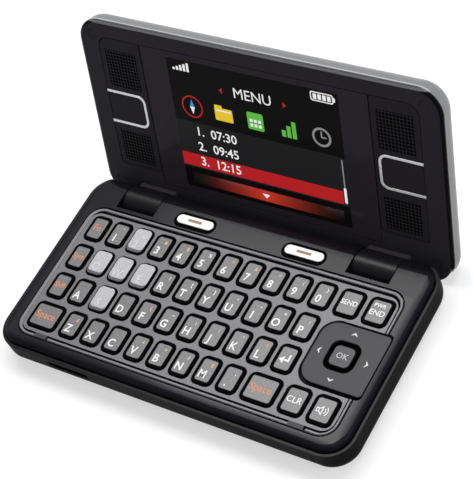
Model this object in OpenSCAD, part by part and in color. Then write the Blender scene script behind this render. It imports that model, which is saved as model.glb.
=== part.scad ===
// Clamshell messaging phone: a keyboard base and a display lid that swings on two knuckles.
// Millimetres. Origin at the centre of the base underside, +X right, +Y to the hinge, +Z up.
// The lid is drawn shut over the base and then swung open about the hinge axis.

/* [Keyboard] */
// Distance between neighbouring character keys
key_pitch = 6.71; // [6.2:0.01:8]
// Distance between key rows
row_pitch = 9.02; // [8.6:0.01:11]
// Width of a character key
key_w = 5.65; // [4:0.05:5.9]
// Depth of every key, front to back
key_d = 7.6; // [6:0.05:8.2]
// Width of the send, end, clear and speaker keys
call_key_w = 6.45; // [5:0.05:6.8]
// Width of the two space keys
space_key_w = 8.9; // [7:0.05:9.2]
// Distance between the two columns of call keys
call_pitch = 7.6; // [7:0.05:10]
// Distance from the last character column to the first call key
call_gap = 7.35; // [6.8:0.05:10]
// Corner radius of the keys in plan
key_r = 1.6; // [0.6:0.05:2]
// Gap between a key and its hole in the plate
key_clear = 0.15; // [0.1:0.01:0.3]
// How far a key can be pressed
key_travel = 0.4; // [0.2:0.05:0.8]
// Height of the key tops above the plate
key_proud = 0.5; // [0.2:0.05:0.7]
// Step left round the raised top of each key
key_step = 0.25; // [0.1:0.05:0.5]
// Width of the retaining flange under each key
flange_lip = 0.35; // [0.2:0.05:0.5]
// Thickness of the retaining flange
flange_t = 0.5; // [0.3:0.05:0.8]
// From the outer key centres to the side edges of the keyboard recess
recess_pad = 5.1; // [4.7:0.01:7]
// From the front key centres to the front edge of the recess
recess_front_pad = 6.2; // [5.2:0.1:9]
// From the rear key centres to the rear edge of the recess
recess_back_pad = 6.5; // [5:0.1:9]
// Corner radius of the keyboard recess
recess_r = 4.3; // [2:0.1:6]
// Open line between the keyboard plate and the edge of the recess
plate_gap = 0.25; // [0.15:0.05:0.4]

/* [Navigation pad] */
// Gap from the enter key to the navigation pad
dpad_gap = 1.3; // [1.2:0.1:3]
// How far the navigation pad crosses the side edge of the recess
dpad_reach = 1.48; // [0.5:0.02:2]
// Gap from the pad to the key rows before and behind it
dpad_row_gap = 1.1; // [1:0.05:3]
// Large corner radius of the pad, on the keyboard side
dpad_r = 4.2; // [2:0.1:6]
// Small corner radius of the pad, on the outer side
dpad_outer_r = 1; // [0.5:0.1:2]
// Gap round the pad and round its centre button
dpad_clear = 0.3; // [0.2:0.05:0.5]
// Thickness of the pad
dpad_t = 0.8; // [0.5:0.05:0.9]
// Width of the centre button
ok_w = 6.2; // [4:0.1:8]
// Shift of the centre button from the pad's middle towards the keys
ok_shift = 0.6; // [0:0.1:1]
// Width of the lip that holds the centre button under the pad
ok_flange = 0.9; // [0.5:0.1:1.2]
// Width of the pad carrier's rubber ring
carrier_ring = 1.6; // [1:0.1:1.8]
// Thickness of the pad carrier
carrier_t = 0.4; // [0.3:0.05:0.5]

/* [Soft keys] */
// Length of each soft key
soft_w = 10.8; // [7:0.1:14]
// Depth of each soft key
soft_d = 3.2; // [2.4:0.1:3.6]
// Corner radius of the soft keys
soft_r = 1.3; // [0.5:0.1:1.6]
// Distance of each soft key from the middle of the base
soft_x = 16; // [10:0.5:20]
// Height of the soft keys above the deck
soft_proud = 0.3; // [0.1:0.05:0.35]

/* [Base stack] */
// Gap between stacked boards and packs
lay_gap = 0.1; // [0.05:0.01:0.3]
// Thickness of the battery cover
cover_t = 1; // [0.7:0.05:1.4]
// Thickness of the battery pack
battery_t = 4; // [3:0.1:6]
// Thickness of the main board
board_t = 0.7; // [0.4:0.1:1.2]
// Thickness of the keypad board
keypad_board_t = 0.4; // [0.2:0.1:0.8]
// Thickness of the rubber key mat
mat_t = 0.4; // [0.2:0.1:0.8]
// Thickness of the keyboard plate
plate_t = 0.7; // [0.5:0.05:1.2]
// Depth of the keyboard plate below the deck
plate_drop = 0.3; // [0.1:0.05:0.5]

/* [Base] */
// Width of the deck at each side of the recess
side_margin = 4.68; // [4.3:0.02:9]
// Depth of the deck in front of the recess
front_margin = 3.8; // [3.4:0.1:8]
// From the rear edge of the recess to the hinge axis
hinge_setback = 5.8; // [5.4:0.1:9]
// Plan radius of the base corners
corner_r = 7; // [6:0.1:9]
// Radius of the lower edge of the base
belly_r = 3.5; // [2:0.1:4]
// Thickness of the base side walls
wall_t = 1.6; // [1:0.1:2]
// Thickness of the base floor
floor_t = 1.6; // [1.4:0.1:2]
// How far the deck stands in from the side walls
deck_inset = 1; // [0.9:0.05:1.4]
// Thickness of the deck rim
deck_t = 2.2; // [1.8:0.1:2.4]
// Width of the groove between the deck and the side wall lip
deck_groove = 0.3; // [0.15:0.05:0.4]
// Drop of the side wall lip below the deck
lip_drop = 1.5; // [0.8:0.1:1.8]
// Radius of the deck's upper edge
deck_edge_r = 1.3; // [0.5:0.1:2.1]
// Width of the ledge that carries the keyboard plate
ledge_w = 0.6; // [0.4:0.05:0.8]
// Fitting gap between fixed pieces
fit_gap = 0.15; // [0.05:0.01:0.3]

/* [Battery] */
// Width of the battery pack
battery_w = 46; // [30:1:56]
// Length of the battery pack
battery_l = 27; // [20:1:29]
// Width of the battery cover
cover_w = 52; // [50:1:64]
// Width of each rail tongue of the battery cover
tongue_w = 0.7; // [0.4:0.1:1]

/* [Hinge] */
// Angle of the lid in the shown pose, from shut
open_angle = 110; // [60:1:125]
// Distance of each knuckle's middle from the side of the base
knuckle_side = 16.75; // [16.3:0.05:20]
// Length of each notch for a knuckle
notch_w = 11.7; // [8:0.1:12]
// Gap at each end of a knuckle
knuckle_gap = 0.3; // [0.15:0.05:0.5]
// Gap between the notch and the round of the knuckle
notch_gap = 0.4; // [0.3:0.05:0.7]
// Radius of the hinge pins
pin_r = 1.3; // [0.8:0.05:1.6]
// Running clearance of the pins in the knuckles
pin_clear = 0.05; // [0.02:0.01:0.09]
// Length of pin held in each lug
lug_grip = 3.6; // [2:0.1:4]
// Width of the hinge end lugs
lug_w = 4.6; // [4.2:0.1:5]
// Radius of the hinge spring cartridge
cartridge_r = 1.75; // [1.2:0.05:1.9]
// Length of the hinge spring cartridge
cartridge_l = 10.5; // [6:0.5:14]

/* [Lid] */
// Gap between the key tops and the shut lid
lid_gap = 0.4; // [0.3:0.05:1]
// Thickness of the lid
lid_t = 6.6; // [5.6:0.1:9]
// Overhang of the lid behind the hinge axis
lid_tail = 2.4; // [1.5:0.1:2.6]
// Height of the display face above the lid cover's rim
rim_drop = 0.4; // [0.2:0.05:0.8]
// Width of the cover's rim round the display face
rim_w = 0.6; // [0.4:0.05:1]
// Thickness of the display face frame
frame_t = 3; // [2.6:0.1:3.4]
// Thickness of the lid cover's outer wall
cover_wall = 1.2; // [1:0.1:1.6]
// Radius of the lid cover's outer edge
cover_edge_r = 4; // [2:0.1:4.5]
// Corner radius of the lid away from the hinge
lid_r = 6.5; // [5:0.1:9]
// Corner radius of the lid at the hinge
lid_tail_r = 6; // [3:0.1:6]
// Gap left between the open lid and the surface the phone lies on
rest_gap = 0.25; // [0.1:0.05:0.5]

/* [Display face] */
// Border between the display panels and the side of the lid
panel_border = 5; // [4.4:0.1:7]
// Border between the panels and the free edge of the lid
panel_top_border = 3.6; // [2:0.1:6]
// Width of each loudspeaker grille
grille_w = 12.9; // [10:0.1:15]
// From the hinge axis to the lower end of the grilles
grille_low = 8; // [6:0.1:12]
// Corner radius of the grilles
grille_r = 3.2; // [1:0.1:5]
// From the hinge axis to the lower end of the display window
window_low = 4.5; // [4:0.1:6]
// Thickness of the window and of the grilles
window_t = 0.8; // [0.5:0.05:1]
// Border of the window round the display module
module_border = 5; // [3:0.1:8]
// Lower border of the window under the display module
module_low = 1.2; // [0.8:0.1:3]
// Upper border of the window over the display module
module_high = 1.6; // [0.8:0.1:3]
// Thickness of the display module
module_t = 1.9; // [1.2:0.1:2.1]
// From the hinge axis to the middle of the U-shaped trims
trim_mid = 25.3; // [22:0.1:30]
// Height of the U-shaped trims
trim_h = 9.4; // [6:0.1:12]
// Gap between a trim and the inner edge of its grille
trim_inset = 1.2; // [0.8:0.1:3]
// Width of the trim's bar
trim_bar = 0.65; // [0.5:0.05:1.2]
// Corner radius of the trims
trim_r = 2.2; // [1.2:0.1:3]
// Height of the trims above the display face
trim_proud = 0.1; // [0:0.02:0.2]
// Spacing of the sound slots in the grilles
slot_pitch = 1.3; // [1:0.1:2]
// Width of one sound slot
slot_w = 0.45; // [0.2:0.05:0.6]

/* [Lid back] */
// Width of the small outer display window
outer_w = 32; // [16:1:50]
// Height of the small outer display window
outer_h = 20; // [10:1:30]
// Corner radius of the outer window
outer_r = 2.5; // [1:0.5:4]
// Thickness of the outer window
outer_t = 0.6; // [0.4:0.05:0.7]

/* [Fasteners] */
// Radius of the screw shanks
screw_r = 0.7; // [0.5:0.05:0.8]
// Radius of the screw heads
screw_head_r = 1.3; // [1:0.05:1.4]
// Thickness of the screw heads
screw_head_t = 0.8; // [0.5:0.05:1]
// Radius of the screw posts
post_r = 1.7; // [1.5:0.05:1.8]
// Working gap round a screw
screw_gap = 0.05; // [0.02:0.01:0.1]

/* [Small parts] */
// Width of the accessory socket
port_w = 12; // [8:0.5:14]
// Depth of the accessory socket
port_d = 5.5; // [4:0.5:7]
// Height of the accessory socket
port_h = 1.6; // [1.2:0.1:2]
// Distance of the socket's middle from the side of the base
port_side = 23.3; // [19:0.1:27]
// Radius of the camera window
camera_r = 3.5; // [2.5:0.1:4]
// Side of the camera module
camera_w = 8; // [7:0.5:9]
// Length of the vibration motor
motor_l = 9; // [6:0.5:12]
// Radius of the microphone
mic_r = 2; // [1.5:0.1:3]
// Length of the antenna strip
antenna_l = 14; // [8:1:15]

/* [Hidden] */
$fn = 48;
sides = [-1, 1];
eps = 0.01;
rub_gap = 0.05;
columns = 10;
char_rows = 3;

// Heights, from the underside up
battery_z = cover_t + lay_gap;
board_z = battery_z + battery_t + lay_gap;
keypad_z = board_z + board_t + lay_gap;
mat_z = keypad_z + keypad_board_t;
mat_top = mat_z + mat_t;
flange_z = mat_top + key_travel + rub_gap;
plate_z = flange_z + flange_t + rub_gap;
plate_top = plate_z + plate_t;
base_h = plate_top + plate_drop;
key_top = plate_top + key_proud;
deck_z = base_h - deck_t;
lip_top = base_h - lip_drop;

// Plan of the base
recess_w = 2 * recess_pad + columns * key_pitch + call_gap + call_pitch;
recess_d = recess_front_pad + char_rows * row_pitch + recess_back_pad;
barrel_r = base_h / 2;
base_w = recess_w + 2 * side_margin;
base_d = front_margin + recess_d + hinge_setback + barrel_r;
front_y = -base_d / 2;
axis_y = base_d / 2 - barrel_r;
axis_z = barrel_r;
recess_y = front_y + front_margin + recess_d / 2;
row4_y = front_y + front_margin + recess_front_pad;
first_x = -recess_w / 2 + recess_pad;
last_x = first_x + columns * key_pitch;
call_x = last_x + call_gap;
function row_y(row) = row4_y + (4 - row) * row_pitch;
function col_x(col) = first_x + col * key_pitch;
space_shift = (space_key_w - key_w) / 2;
open_w = recess_w - 2 * (fit_gap + ledge_w);
open_d = recess_d - 2 * (fit_gap + ledge_w);

// Navigation pad
dpad_x0 = last_x + key_w / 2 + dpad_gap;
dpad_x1 = recess_w / 2 + dpad_reach;
dpad_y0 = row_y(4) + key_d / 2 + dpad_row_gap;
dpad_y1 = row_y(1) - key_d / 2 - dpad_row_gap;
dpad_mid = [(dpad_x0 + dpad_x1) / 2, (dpad_y0 + dpad_y1) / 2];
dpad_top = plate_top + key_proud / 2;
dpad_z = dpad_top - dpad_t;
carrier_z = (dpad_z + mat_top - carrier_t) / 2;
rib_r = 0.2;
rib_gap = 0.05;
ok_at = dpad_mid - [ok_shift, 0];
ok_r = 1.5;
ring_hole = ok_w + 2 * (dpad_clear + ok_flange);
ring_w = ring_hole + 2 * carrier_ring;
ok_z = flange_z;
ok_hole = ok_w + 2 * dpad_clear;
ok_flange_t = 0.3;
ok_flange_drop = 0.25;
pad_floor = 0.6;

// Soft keys
soft_setback = 2.9;
soft_y = axis_y - soft_setback;
soft_clear = 0.25;
soft_body = 2;

// Hinge
hinge_front = axis_y - barrel_r - notch_gap;
knuckle_x = base_w / 2 - knuckle_side;
notch_in = knuckle_x - notch_w / 2;
notch_out = knuckle_x + notch_w / 2;
lug_out = notch_out + lug_w;
pin_in = notch_in - lug_grip;
pin_out = notch_out + lug_grip;
neck_front = 3;
knuckle_play = 0.1;
knuckle_r = barrel_r - knuckle_play;
barrel_wall = 1.2;

// Screws and inner pieces
screw_in = 1.6;
screw_side = 3.4;
screw_x = base_w / 2 - screw_side;
screw_setback = 3.4;
screw_ys = [front_y + corner_r + screw_in, hinge_front - screw_setback];
post_split = base_h / 2;
screw_tip = 0.4;
board_edge = 1.72;
board_w = open_w - 2 * board_edge;
board_front = 2.2;
board_y0 = front_y + front_margin + board_front;
board_y1 = hinge_front - screw_setback;
battery_front = 9;
battery_y = front_y + wall_t + battery_front + battery_l / 2;
cover_lap = 2;
cover_back = battery_y + battery_l / 2 + cover_lap;
grip_y = cover_back - 7;
grip_pitch = 1.2;
grip_l = 10;
grip_w = 0.6;
grip_deep = 0.25;
can_size = [14, 16, 1.6];
can_gap = 2;
can_x = battery_w / 2 + can_size[0] / 2 + can_gap;
port_z = board_z + board_t - port_h;
port_x = base_w / 2 - port_side;
port_shell = 0.3;
camera_side = 14;
camera_back = 1;
camera_at = [screw_x - camera_side, board_y1 - camera_w / 2 - camera_back];
motor_r = (board_z - floor_t) / 2;
motor_side = 16;
motor_front = 0.4;
motor_at = [screw_x - motor_side, board_y0 + motor_r + motor_front];
mic_side = 21;
mic_front = 4.2;
mic_at = [screw_x - mic_side, board_y0 + mic_front];
mic_t = 1.4;
antenna_size = [antenna_l, 3, 1.2];
antenna_side = 1;
antenna_back = 8;
antenna_at = [antenna_side - board_w / 2, board_y1 - antenna_back];

// Lid, drawn shut
lid_z = key_top + lid_gap;
lid_top = lid_z + lid_t;
rim_z = lid_z + rim_drop;
lid_front = front_y;
lid_back = axis_y + lid_tail;
face_w = base_w - 2 * rim_w - 2 * fit_gap;
face_front = lid_front + rim_w + fit_gap;
face_back = lid_back - fit_gap;
panel_x = face_w / 2 - panel_border;
panel_front = face_front + panel_top_border;
window_w = 2 * (panel_x - grille_w) - fit_gap;
window_back = axis_y - window_low;
window_l = window_back - panel_front;
grille_back = axis_y - grille_low;
grille_l = grille_back - panel_front;
seat_gap = 0.05;
grille_x = panel_x - grille_w / 2;
trim_y = axis_y - trim_mid;
trim_x = panel_x - grille_w + trim_inset;
module_w = window_w - 2 * module_border;
module_l = window_l - module_low - module_high;
module_y = window_back - module_low - module_l / 2;
module_z = lid_z + window_t + lay_gap;
speaker_t = 1.6;
lid_screw_in = [3.6, 3.3, 3];
lid_screw_x = face_w / 2 - lid_screw_in[0];
lid_screw_ys = [face_front + lid_screw_in[1], axis_y - lid_screw_in[2]];
lid_screw_drop = 0.1;
slot_margin = 1.5;
grille_tail_r = 0.8;
speaker_rim = 1.3;
outer_y = (lid_front + lid_back) / 2;

// Single keys: name, centre column x, row, width
single_keys = [
    ["key_fn", col_x(0), 1, key_w],
    ["key_sym", col_x(0), 2, key_w],
    ["key_shift", col_x(0), 3, key_w],
    ["key_space_left", col_x(0) + space_shift, 4, space_key_w],
    ["key_enter", col_x(columns), 3, key_w],
    ["key_space_right", col_x(columns) - space_shift, 4, space_key_w],
    ["key_send", call_x, 1, call_key_w],
    ["key_end", call_x + call_pitch, 1, call_key_w],
    ["key_clear", call_x, 4, call_key_w],
    ["key_speaker", call_x + call_pitch, 4, call_key_w],
    ["key_l", col_x(9), 3, key_w]
];
// Character keys moulded two on a carrier: name, first column, row
paired_keys = [
    ["keys_1_2", 1, 1], ["keys_3_4", 3, 1], ["keys_5_6", 5, 1], ["keys_7_8", 7, 1], ["keys_9_0", 9, 1],
    ["keys_q_w", 1, 2], ["keys_e_r", 3, 2], ["keys_t_y", 5, 2], ["keys_u_i", 7, 2], ["keys_o_p", 9, 2],
    ["keys_a_s", 1, 3], ["keys_d_f", 3, 3], ["keys_g_h", 5, 3], ["keys_j_k", 7, 3],
    ["keys_z_x", 1.5, 4], ["keys_c_v", 3.5, 4], ["keys_b_n", 5.5, 4], ["keys_m_stop", 7.5, 4]
];

// Flat rectangle with four round corners
module rounded(w, d, r) {
    square([w - 2 * r, d], center = true);
    square([w, d - 2 * r], center = true);
    for (sx = sides, sy = sides) translate([sx * (w / 2 - r), sy * (d / 2 - r)]) circle(r);
}

// Upright block on a rounded plan
module slab(w, d, r, z0, z1) {
    translate([0, 0, z0]) linear_extrude(z1 - z0) rounded(w, d, r);
}

// Box from one corner to the other
module box(low, high) {
    translate(low) cube(high - low);
}

// Plan of a panel with one radius at its front corners and another at its back corners
module panel_plan(w, y0, y1, front_r, back_r) {
    translate([-w / 2, y0 + front_r]) square([w, y1 - y0 - front_r - back_r]);
    translate([-w / 2 + front_r, y0]) square([w - 2 * front_r, front_r + eps]);
    translate([-w / 2 + back_r, y1 - back_r - eps]) square([w - 2 * back_r, back_r + eps]);
    for (sx = sides) {
        translate([sx * (w / 2 - front_r), y0 + front_r]) circle(front_r);
        translate([sx * (w / 2 - back_r), y1 - back_r]) circle(back_r);
    }
}

// Section of a block with two round lower corners
module bowl_section(w, h, r) {
    intersection() {
        translate([-w / 2, 0]) square([w, h]);
        union() {
            translate([-w / 2, r]) square([w, h]);
            translate([-w / 2 + r, 0]) square([w - 2 * r, h]);
            for (sx = sides) translate([sx * (w / 2 - r), r]) circle(r);
        }
    }
}

// Block on a rounded plan whose lower edge is round
module bowl(w, d, plan_r, h, edge_r) {
    rotate([90, 0, 90]) linear_extrude(w - 2 * plan_r, center = true) bowl_section(d, h, edge_r);
    rotate([90, 0, 0]) linear_extrude(d - 2 * plan_r, center = true) bowl_section(w, h, edge_r);
    for (sx = sides, sy = sides) translate([sx * (w / 2 - plan_r), sy * (d / 2 - plan_r), 0])
        rotate_extrude() intersection() {
            bowl_section(2 * plan_r, h, edge_r);
            square([plan_r, h]);
        }
}

// Space inside the rounded back of the base
module back_round() {
    box([-base_w, front_y - 1, -1], [base_w, axis_y, base_h + 1]);
    translate([0, axis_y, axis_z]) rotate([0, 90, 0]) cylinder(r = barrel_r, h = 2 * base_w, center = true);
}

module at_screws() {
    for (sx = sides, y = screw_ys) translate([sx * screw_x, y, 0]) children();
}

module at_lid_screws() {
    for (sx = sides, y = lid_screw_ys) translate([sx * lid_screw_x, y, 0]) children();
}

// Swings the shut lid to the shown pose
module swung() {
    translate([0, axis_y, axis_z]) rotate([-open_angle, 0, 0]) translate([0, -axis_y, -axis_z]) children();
}

// Plan of the navigation pad, grown by g
module dpad_plan(g) {
    w = dpad_x1 - dpad_x0 + 2 * g;
    d = dpad_y1 - dpad_y0 + 2 * g;
    translate(dpad_mid) rotate(-90)
        panel_plan(d, -w / 2, w / 2, dpad_r + g, dpad_outer_r + g);
}

// Hole in the keyboard plate for one key
module key_hole(x, row, w) {
    translate([x, row_y(row)]) rounded(w + 2 * key_clear, key_d + 2 * key_clear, key_r + key_clear);
}

// Cap of one key, from its flange to its raised top
module key_cap(x, row, w) {
    translate([x, row_y(row), 0]) {
        slab(w, key_d, key_r, flange_z, key_top - key_step);
        slab(w - 2 * key_step, key_d - 2 * key_step, key_r - key_step, flange_z, key_top);
    }
}

module key_flange(x0, x1, row) {
    translate([(x0 + x1) / 2, row_y(row), 0])
        slab(x1 - x0 + 2 * flange_lip, key_d + 2 * flange_lip, key_r, flange_z, flange_z + flange_t);
}

module single_key(k) {
    color("dimgray") {
        key_cap(k[1], k[2], k[3]);
        key_flange(k[1] - k[3] / 2, k[1] + k[3] / 2, k[2]);
    }
}

module paired_key(k) {
    color("slategray") {
        for (i = [0, 1]) key_cap(col_x(k[1] + i), k[2], key_w);
        key_flange(col_x(k[1]) - key_w / 2, col_x(k[1] + 1) + key_w / 2, k[2]);
    }
}

// Charcoal deck with the keyboard recess, and the hinge barrel across its back
module base_top_housing() {
    color("#3a3a3e") difference() {
        union() {
            intersection() {
                translate([0, 0, base_h]) mirror([0, 0, 1])
                    bowl(base_w - 2 * deck_inset, base_d - 2 * deck_inset, corner_r - deck_inset,
                         deck_t, deck_edge_r);
                back_round();
            }
            intersection() {
                box([-lug_out, hinge_front - barrel_wall, 0], [lug_out, base_d, base_h]);
                back_round();
            }
            at_screws() translate([0, 0, post_split]) cylinder(r = post_r, h = deck_z + eps - post_split);
        }
        translate([0, recess_y, 0]) {
            slab(recess_w, recess_d, recess_r, plate_z, base_h + 1);
            slab(open_w, open_d, recess_r - fit_gap - ledge_w, deck_z - 1, base_h + 1);
        }
        translate([0, 0, dpad_z - pad_floor]) linear_extrude(base_h) dpad_plan(dpad_clear);
        for (sx = sides) {
            translate([sx * soft_x, soft_y, 0])
                slab(soft_w + 2 * soft_clear, soft_d + 2 * soft_clear, soft_r + soft_clear,
                     base_h - soft_body - key_travel, base_h + 1);
            translate([sx * knuckle_x, 0, 0])
                box([-notch_w / 2, hinge_front, -1], [notch_w / 2, base_d, base_h + 1]);
            translate([sx * pin_in, axis_y, axis_z]) rotate([0, sx * 90, 0])
                translate([0, 0, -rub_gap]) cylinder(r = pin_r + eps, h = pin_out - pin_in + 2 * rub_gap);
        }
        translate([pin_in + eps, axis_y, axis_z]) rotate([0, -90, 0])
            cylinder(r = cartridge_r + rub_gap, h = cartridge_l + 2 * rub_gap);
        at_screws() translate([0, 0, post_split - 1])
            cylinder(r = screw_r + eps, h = deck_z + screw_tip - post_split + 1);
    }
}

// Black tray with the battery bay, the screw posts and the accessory slot
module base_bottom_housing() {
    color("#1c1c1e") difference() {
        union() {
            difference() {
                intersection() {
                    bowl(base_w, base_d, corner_r, lip_top, belly_r);
                    back_round();
                }
                intersection() {
                    slab(base_w - 2 * wall_t, base_d - 2 * wall_t, corner_r - wall_t, floor_t, base_h + 1);
                    box([-base_w, -base_d, 0], [base_w, hinge_front - barrel_wall, base_h + 2]);
                }
                slab(base_w - 2 * (deck_inset - deck_groove), base_d - 2 * (deck_inset - deck_groove),
                     corner_r - deck_inset + deck_groove, deck_z, base_h + 1);
                box([-lug_out - rub_gap, hinge_front - barrel_wall - rub_gap, -1],
                    [lug_out + rub_gap, base_d, base_h + 1]);
            }
            at_screws() translate([0, 0, floor_t - eps]) cylinder(r = post_r, h = post_split - floor_t + eps);
        }
        at_screws() {
            translate([0, 0, -1]) cylinder(r = screw_r + screw_gap, h = base_h);
            translate([0, 0, -1]) cylinder(r = screw_head_r + screw_gap, h = 1 + floor_t / 4 + screw_head_t);
        }
        translate([0, battery_y, 0]) {
            w = battery_w / 2 + fit_gap;
            l = battery_l / 2 + fit_gap;
            box([-w, -l, -1], [w, l, base_h]);
        }
        box([-cover_w / 2, -base_d, -1], [cover_w / 2, cover_back, cover_t + rub_gap]);
        tongue_box(rub_gap, cover_back);
        translate([-port_x, front_y, port_z])
            box([-port_w / 2 - fit_gap, -1, -fit_gap], [port_w / 2 + fit_gap, wall_t + 1, port_h + fit_gap]);
        translate(concat(camera_at, -1)) {
            cylinder(r = camera_r + rub_gap, h = 1 + floor_t * 0.75);
            cylinder(r = camera_r - 1, h = floor_t + 2);
        }
    }
}

// Rail tongues at both sides of the battery cover, grown by g
module tongue_box(g, back) {
    mid = cover_t / 2;
    for (sx = sides) translate([sx * (cover_w / 2 - rub_gap), 0, mid])
        box([-tongue_w - g, -base_d, -cover_t / 5 - g], [tongue_w + g, back, cover_t / 5 + g]);
}

// Cover over the battery, following the round front of the tray
module battery_cover() {
    color("#202022") difference() {
        intersection() {
            union() {
                side = cover_w / 2 - fit_gap;
                box([-side, -base_d, 0], [side, cover_back - fit_gap, cover_t]);
                tongue_box(0, cover_back - fit_gap);
            }
            bowl(base_w, base_d, corner_r, lip_top, belly_r);
        }
        // Grip grooves across the underside
        for (i = [-2 : 2]) translate([0, grip_y + i * grip_pitch, 0])
            cube([grip_l, grip_w, 2 * grip_deep], center = true);
    }
}

module battery_pack() {
    color("#5b6068") translate([0, battery_y, 0])
        slab(battery_w, battery_l, 1, battery_z, battery_z + battery_t);
}

// Main board with its shield cans beside the battery
module main_board() {
    port_back = front_y + wall_t + port_d;
    color("darkgreen") difference() {
        union() {
            box([-board_w / 2, board_y0, board_z], [board_w / 2, board_y1, board_z + board_t]);
            for (sx = sides) translate([sx * can_x, battery_y - can_gap, 0])
                slab(can_size[0], can_size[1], 1, board_z - can_size[2], board_z + eps);
            // Stub feet that stand on the floor of the tray
            for (sx = sides, y = [board_y0 + 2, board_y1 - 2]) translate([sx * (board_w / 2 - 2), y, floor_t])
                cylinder(r = 1, h = board_z - floor_t + eps);
        }
        translate([-port_x, 0, 0])
            box([-port_w / 2 - fit_gap, -base_d, 0], [port_w / 2 + fit_gap, port_back + fit_gap, base_h]);
    }
}

module keypad_board() {
    color("seagreen")
        box([-board_w / 2, board_y0, keypad_z], [board_w / 2, board_y1, keypad_z + keypad_board_t]);
}

// Rubber mat that the keys press on
module keypad_mat() {
    color("#26262a") difference() {
        translate([0, recess_y, 0])
            slab(open_w - 2 * fit_gap, open_d - 2 * fit_gap, recess_r - fit_gap - ledge_w, mat_z, mat_top);
        rib(90, mat_top, rib_r + rib_gap);
    }
}

// Grey keyboard plate with a hole for every key
module keypad_plate() {
    color("#77777c") translate([0, 0, plate_z]) linear_extrude(plate_t) difference() {
        translate([0, recess_y])
            rounded(recess_w - 2 * plate_gap, recess_d - 2 * plate_gap, recess_r - plate_gap);
        for (k = single_keys) key_hole(k[1], k[2], k[3]);
        for (k = paired_keys, i = [0, 1]) key_hole(col_x(k[1] + i), k[2], key_w);
        dpad_plan(dpad_clear);
    }
}

module base_screws() {
    color("silver") at_screws() {
        translate([0, 0, floor_t / 4]) cylinder(r = screw_head_r, h = screw_head_t);
        translate([0, 0, floor_t / 4]) cylinder(r = screw_r, h = deck_z - floor_t / 4);
    }
}

// Metal shell of the accessory socket with its contact tongue
module charge_port() {
    shell = port_shell;
    color("gainsboro") translate([-port_x, front_y + wall_t, port_z]) {
        difference() {
            box([-port_w / 2, 0, 0], [port_w / 2, port_d, port_h]);
            box([-port_w / 2 + shell, -1, shell], [port_w / 2 - shell, port_d - shell, port_h - shell]);
        }
        translate([0, 0, (port_h - shell) / 2])
            box([-port_w / 2 + 1, 2 * shell, 0], [port_w / 2 - 1, port_d - shell, shell]);
    }
}

module vibration_motor() {
    color("silver") translate(concat(motor_at, floor_t + motor_r))
        rotate([0, 90, 0]) cylinder(r = motor_r, h = motor_l);
}

module microphone() {
    color("gray") translate(concat(mic_at, board_z - mic_t)) cylinder(r = mic_r, h = mic_t);
}

module antenna() {
    color("goldenrod") translate(concat(antenna_at, board_z - antenna_size[2])) cube(antenna_size);
}

module camera_module() {
    color("#303034") translate(concat(camera_at, 0)) {
        slab(camera_w, camera_w, 0.8, floor_t, board_z);
        translate([0, 0, floor_t * 0.75]) cylinder(r = camera_r - 1.1, h = floor_t / 2);
    }
}

module camera_window() {
    color("#0c0c10") translate(concat(camera_at, floor_t / 4)) cylinder(r = camera_r, h = floor_t / 2);
}

module hinge_pins() {
    color("lightgray") for (sx = sides) translate([sx * pin_in, axis_y, axis_z])
        rotate([0, sx * 90, 0]) cylinder(r = pin_r, h = pin_out - pin_in);
}

module hinge_cartridge() {
    color("darkgray") translate([pin_in, axis_y, axis_z]) rotate([0, -90, 0])
        cylinder(r = cartridge_r, h = cartridge_l);
}

// Half-round rib across the pad carrier at height z, or the groove for it
module rib(turn, z, r) {
    translate(concat(ok_at, z)) rotate([0, 90, turn]) cylinder(r = r, h = ring_w, center = true);
}

// Navigation pad, open at its middle for the centre button
module dpad() {
    color("#3c3c40") difference() {
        translate([0, 0, dpad_z]) linear_extrude(dpad_t) dpad_plan(0);
        translate(concat(ok_at, 0)) slab(ok_hole, ok_hole, ok_r + dpad_clear, dpad_z - 1, base_h + 1);
        rib(0, dpad_z, rib_r + rib_gap);
    }
}

// Rubber ring with two crossed ribs: it rocks on the mat, and the pad rocks on it
module dpad_carrier() {
    color("#141416") difference() {
        union() {
            translate(concat(ok_at, 0)) {
                slab(ring_w, ring_w, ok_r + carrier_ring, carrier_z, carrier_z + carrier_t);
                box([-ring_w / 2, -rib_r, carrier_z], [ring_w / 2, rib_r, dpad_z]);
                box([-rib_r, -ring_w / 2, mat_top], [rib_r, ring_w / 2, carrier_z + carrier_t]);
            }
            rib(0, dpad_z, rib_r);
            rib(90, mat_top, rib_r);
        }
        translate(concat(ok_at, 0)) slab(ring_hole, ring_hole, ok_r + dpad_clear, 0, base_h);
    }
}

// Centre button with a lip under the pad
module ok_button() {
    lip_w = ok_w + 2 * ok_flange;
    lip_z = dpad_z - ok_flange_drop;
    color("#48484c") translate(concat(ok_at, 0)) {
        slab(ok_w, ok_w, ok_r, ok_z, dpad_top - key_step);
        slab(ok_w - 2 * key_step, ok_w - 2 * key_step, ok_r - key_step, ok_z, dpad_top);
        slab(lip_w, lip_w, ok_r, lip_z - ok_flange_t, lip_z);
    }
}

module soft_key(side) {
    color("whitesmoke") translate([side * soft_x, soft_y, 0])
        slab(soft_w, soft_d, soft_r, base_h - soft_body, base_h + soft_proud);
}

// Part of the shut lid that stays above the surface the open phone lies on
module lid_room() {
    translate([0, axis_y, axis_z]) rotate([open_angle, 0, 0]) translate([0, -axis_y, -axis_z])
        box([-base_w, -2 * base_d, rest_gap], [base_w, 3 * base_d, 3 * base_d]);
}

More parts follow.
